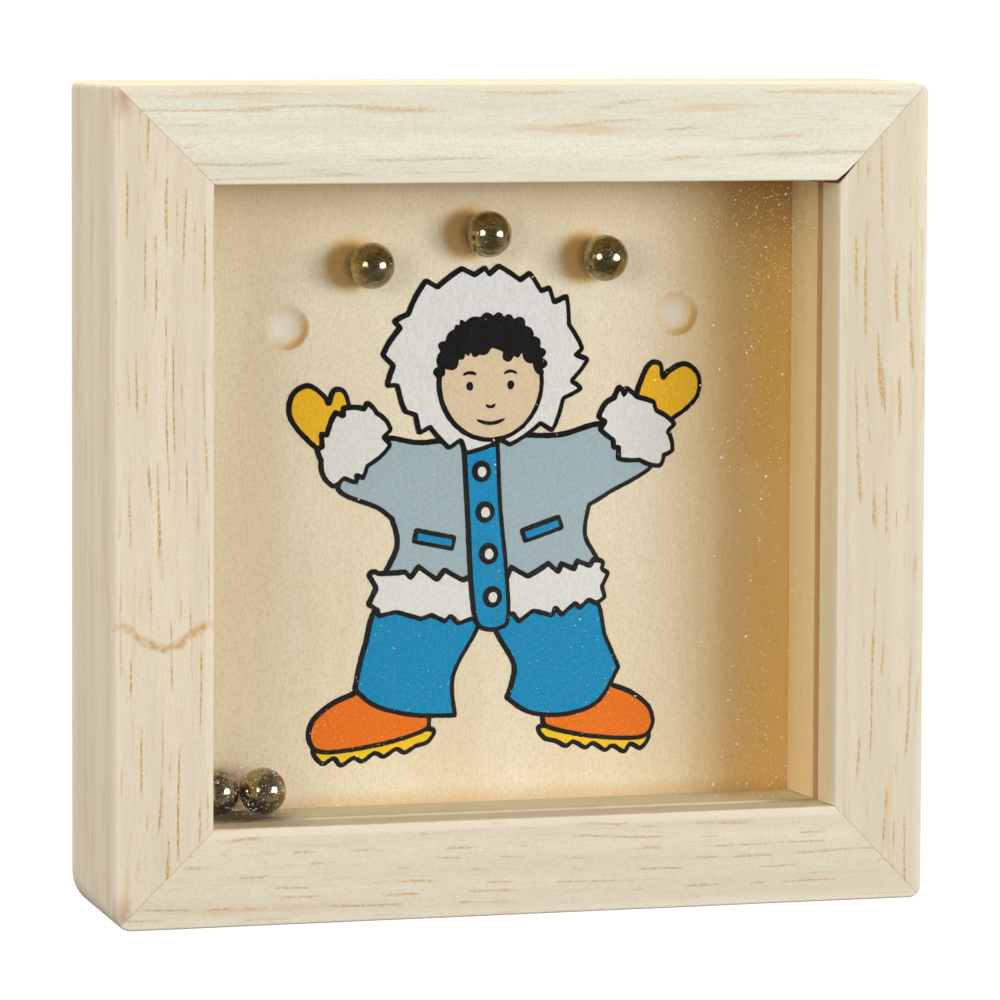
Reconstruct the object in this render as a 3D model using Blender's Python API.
"""Pocket dexterity puzzle: five steel balls, a dimpled board and a clear pane in a mitred frame.

X runs across the puzzle, Y from its front to its back and Z up. The puzzle stands upright on its
bottom rail, with the origin in the middle of the underside.
"""
import math

import bmesh
import bpy
from mathutils import Matrix, Vector
from mathutils.geometry import intersect_line_sphere_2d

MM = 0.001
TOLERANCE = 0.001 * MM

# Outside of the frame
WIDTH = 90 * MM
HEIGHT = 88 * MM
DEPTH = 18 * MM
FRONT = -DEPTH / 2
BACK = DEPTH / 2

# Rails, anticlockwise from the bottom one as seen from the front, with the width of each front face
# (the outside was sanded flush after gluing, so the four differ a little)
RAIL_WIDTHS = {
    "bottom": 10.3 * MM,
    "right": 10.1 * MM,
    "top": 10.5 * MM,
    "left": 10.7 * MM,
}
GLUE_GAP = 0.3 * MM         # between neighbouring pieces that are glued together
EDGE_RADIUS = 0.8 * MM      # sanded long edges on the outside
LIP_RADIUS = 0.35 * MM      # eased front edge round the window
CORNER_RADIUS = 1.2 * MM    # outer corners, seen from the front
WORN_CORNER_RADIUS = 3.5 * MM
WORN_CORNER = ("left", "bottom")
CORNER_STEPS = 4
EDGE_STEPS = 4

# Clear pane, in a groove round the inside of the rails
PANE_SETBACK = 5.2 * MM     # from the frame's front to the pane's front
PANE_THICKNESS = 2 * MM
PANE_HOLD = 2.2 * MM        # how far the pane runs into each rail
PANE_PLAY = 0.3 * MM
PANE_FRONT = FRONT + PANE_SETBACK
PANE_BACK = PANE_FRONT + PANE_THICKNESS

# Backing board, in a rebate round the back of the rails
CHAMBER_DEPTH = 8 * MM      # from the pane to the board
BOARD_THICKNESS = 2.5 * MM
BOARD_HOLD = 2.8 * MM
BOARD_FRONT = PANE_BACK + CHAMBER_DEPTH

# Steel balls, and the dimples that catch them
BALL_RADIUS = 2.5 * MM
BALL_PLAY = 0.2 * MM        # between a loose ball and whatever it lies against
DIMPLE_PLAY = 0.3 * MM      # between a caught ball and the bottom of its dimple
DIMPLE_RADIUS = 2.3 * MM
DIMPLE_DEPTH = 0.4 * MM
DIMPLE_SPHERE = (DIMPLE_RADIUS ** 2 + DIMPLE_DEPTH ** 2) / (2 * DIMPLE_DEPTH)
ARC_RADIUS = 30.5 * MM      # the dimples lie on an arc over the picture's head
ARC_TOP = 71.6 * MM
ARC_ANGLES = [math.radians(angle) for angle in (-46, -25.5, 0, 25.5, 46)]
PRINT_TURN = math.radians(1.2)  # picture and dimples sit slightly turned on the board
DISH_RINGS = 6
DISH_SIDES = 28
BALL_SIDES = 24

WOOD = ("frame_wood", (0.78, 0.71, 0.54), 0.55, 0.0)
BOARD = ("board_plywood", (0.72, 0.58, 0.38), 0.6, 0.0)
PANE = ("clear_acrylic", (0.95, 0.97, 0.97), 0.05, 0.0)
STEEL = ("ball_steel", (0.55, 0.53, 0.48), 0.15, 1.0)


def clear_scene():
    for item in list(bpy.data.objects):
        bpy.data.objects.remove(item)


def make_material(name, colour, roughness, metallic):
    material = bpy.data.materials.get(name)
    if material is None:
        material = bpy.data.materials.new(name)
        material.use_nodes = True
        shader = material.node_tree.nodes["Principled BSDF"]
        shader.inputs["Base Color"].default_value = (*colour, 1.0)
        shader.inputs["Roughness"].default_value = roughness
        shader.inputs["Metallic"].default_value = metallic
        if name == PANE[0]:
            shader.inputs["Transmission Weight"].default_value = 1.0
            shader.inputs["IOR"].default_value = 1.49
    return material


def add_object(name, bm, finish=None):
    """Turn a bmesh into a named object with outward faces."""
    bmesh.ops.recalc_face_normals(bm, faces=bm.faces)
    mesh = bpy.data.meshes.new(name)
    bm.to_mesh(mesh)
    bm.free()
    piece = bpy.data.objects.new(name, mesh)
    bpy.context.scene.collection.objects.link(piece)
    if finish:
        mesh.materials.append(make_material(*finish))
    return piece


def add_cutter(name, bm):
    cutter = add_object(name, bm)
    cutter.hide_render = True
    cutter.display_type = "WIRE"
    return cutter


def cut_away(piece, cutter):
    cut = piece.modifiers.new(cutter.name, "BOOLEAN")
    cut.operation = "DIFFERENCE"
    cut.solver = "EXACT"
    cut.object = cutter


def extrude_outline(points, front, back):
    """Prism over an outline of (x, z) points, from y = front to y = back."""
    bm = bmesh.new()
    face = bm.faces.new([bm.verts.new((x, front, z)) for x, z in points])
    extruded = bmesh.ops.extrude_face_region(bm, geom=[face])
    moved = [item for item in extruded["geom"] if isinstance(item, bmesh.types.BMVert)]
    bmesh.ops.translate(bm, verts=moved, vec=(0, back - front, 0))
    return bm


def window_rectangle(grow):
    """Corners of the window opening, moved outwards by grow into every rail."""
    left = -WIDTH / 2 + RAIL_WIDTHS["left"] - grow
    right = WIDTH / 2 - RAIL_WIDTHS["right"] + grow
    bottom = RAIL_WIDTHS["bottom"] - grow
    top = HEIGHT - RAIL_WIDTHS["top"] + grow
    return [(left, bottom), (right, bottom), (right, top), (left, top)]


def mitred_end(half_length, width, next_width, radius):
    """One end of a rail's front outline: the rounded outer corner, then the mitre's inner end.

    The outline is in the rail's own (along, inward) coordinates. The mitre runs from the frame's
    outer corner to the window's corner, moved back by half of the glue gap.
    """
    mitre = Vector((-next_width, width)).normalized()
    setback = GLUE_GAP / 2 / mitre.y
    outer = Vector((half_length - setback, 0))
    inner = Vector((half_length - setback - next_width, width))
    centre = Vector((half_length - radius, radius))
    crossings = intersect_line_sphere_2d(outer, inner, centre, radius)
    corner = min(crossings, key=lambda point: (point - outer).length)
    sweep = math.atan2(corner.x - centre.x, centre.y - corner.y)
    angles = [sweep * step / CORNER_STEPS for step in range(CORNER_STEPS + 1)]
    arc = [centre + radius * Vector((math.sin(a), -math.cos(a))) for a in angles]
    return arc + [inner]


def corner_radius(side, other_side):
    worn = {side, other_side} == set(WORN_CORNER)
    return WORN_CORNER_RADIUS if worn else CORNER_RADIUS


def edges_at(bm, depth, inside):
    """Edges that lie wholly at one depth, with both ends where inside(end) is true."""
    return [edge for edge in bm.edges
            if all(abs(end.co.y - depth) < TOLERANCE and inside(end.co) for end in edge.verts)]


def round_rail_edges(bm, width):
    """Sand the outer edges front and back, and ease the front edge round the window."""
    def outside(point):
        return point.z < width / 2

    def at_window(point):
        return point.z > width / 2

    outer = edges_at(bm, FRONT, outside) + edges_at(bm, BACK, outside)
    lip = edges_at(bm, FRONT, at_window)
    for edges, radius in ((outer, EDGE_RADIUS), (lip, LIP_RADIUS)):
        bmesh.ops.bevel(bm, geom=edges, offset=radius, segments=EDGE_STEPS, profile=0.5,
                        affect="EDGES")


def make_rail(index, cutters):
    sides = list(RAIL_WIDTHS)
    side = sides[index]
    after = sides[(index + 1) % 4]
    before = sides[index - 1]
    width = RAIL_WIDTHS[side]
    upright = side in ("left", "right")
    length, outer_distance = (HEIGHT, WIDTH) if upright else (WIDTH, HEIGHT)
    far = mitred_end(length / 2, width, RAIL_WIDTHS[after], corner_radius(side, after))
    near = mitred_end(length / 2, width, RAIL_WIDTHS[before], corner_radius(side, before))
    outline = far + [Vector((-point.x, point.y)) for point in reversed(near)]
    bm = extrude_outline(outline, FRONT, BACK)
    round_rail_edges(bm, width)
    rail = add_object("rail_" + side, bm, WOOD)
    middle = Matrix.Translation((0, 0, HEIGHT / 2))
    turn = Matrix.Rotation(-index * math.pi / 2, 4, "Y")
    rail.matrix_world = middle @ turn @ Matrix.Translation((0, 0, -outer_distance / 2))
    for cutter in cutters:
        cut_away(rail, cutter)
    return rail


def make_frame():
    groove = add_cutter("groove_cutter", extrude_outline(
        window_rectangle(PANE_HOLD + PANE_PLAY), PANE_FRONT - PANE_PLAY, PANE_BACK + PANE_PLAY))
    rebate = add_cutter("rebate_cutter", extrude_outline(
        window_rectangle(BOARD_HOLD + GLUE_GAP), BOARD_FRONT - GLUE_GAP, BACK + BOARD_THICKNESS))
    for index in range(4):
        make_rail(index, (groove, rebate))


def make_pane():
    outline = window_rectangle(PANE_HOLD)
    add_object("window_pane", extrude_outline(outline, PANE_FRONT, PANE_BACK), PANE)


def dimple_places():
    """Dimple centres on the board as (x, z), from left to right."""
    middle = Vector((0, HEIGHT / 2))
    arc_centre = Vector((0, ARC_TOP - ARC_RADIUS))
    places = []
    for angle in ARC_ANGLES:
        place = arc_centre + ARC_RADIUS * Vector((math.sin(angle), math.cos(angle)))
        places.append(middle + Matrix.Rotation(PRINT_TURN, 2) @ (place - middle))
    return places


def add_dish_cutter(bm, x, z):
    """Lens-shaped cutter, turned about the dimple's axis, that scoops one shallow dish."""
    reach = 1.5 * math.asin(DIMPLE_RADIUS / DIMPLE_SPHERE)
    angles = [reach * ring / DISH_RINGS for ring in range(DISH_RINGS + 1)]
    bottom = BOARD_FRONT + DIMPLE_DEPTH
    profile = [Vector((x + DIMPLE_SPHERE * math.sin(a), bottom - DIMPLE_SPHERE * (1 - math.cos(a)), z))
               for a in angles]
    profile.append(Vector((x, profile[-1].y, z)))
    verts = [bm.verts.new(point) for point in profile]
    edges = [bm.edges.new(pair) for pair in zip(verts, verts[1:])]
    bmesh.ops.spin(bm, geom=verts + edges, cent=(x, 0, z), axis=(0, 1, 0),
                   angle=2 * math.pi, steps=DISH_SIDES, use_merge=True)
    bmesh.ops.remove_doubles(bm, verts=bm.verts, dist=TOLERANCE / 10)


def make_board():
    board = add_object("backing_board", extrude_outline(
        window_rectangle(BOARD_HOLD), BOARD_FRONT, BOARD_FRONT + BOARD_THICKNESS), BOARD)
    bm = bmesh.new()
    for x, z in dimple_places():
        add_dish_cutter(bm, x, z)
    cut_away(board, add_cutter("dimple_cutter", bm))


def ball_places():
    """Three balls caught in the middle dimples, then two loose in the lower left corner."""
    caught_y = BOARD_FRONT + DIMPLE_DEPTH - DIMPLE_PLAY - BALL_RADIUS
    places = [(x, caught_y, z) for x, z in dimple_places()[1:4]]
    loose_x = -WIDTH / 2 + RAIL_WIDTHS["left"] + BALL_PLAY + BALL_RADIUS
    loose_y = PANE_BACK + BALL_PLAY + BALL_RADIUS
    loose_z = RAIL_WIDTHS["bottom"] + BALL_PLAY + BALL_RADIUS
    for index in range(2):
        places.append((loose_x + index * (2 * BALL_RADIUS + BALL_PLAY), loose_y, loose_z))
    return places


def make_balls():
    for number, place in enumerate(ball_places(), start=1):
        bm = bmesh.new()
        bmesh.ops.create_uvsphere(bm, u_segments=BALL_SIDES, v_segments=BALL_SIDES // 2,
                                  radius=BALL_RADIUS)
        ball = add_object(f"ball_{number}", bm, STEEL)
        ball.location = place


def shade_pieces():
    for piece in bpy.data.objects:
        if not piece.hide_render:
            piece.data.shade_smooth()
            piece.data.set_sharp_from_angle(angle=math.radians(30))


clear_scene()
make_frame()
make_pane()
make_board()
make_balls()
shade_pieces()
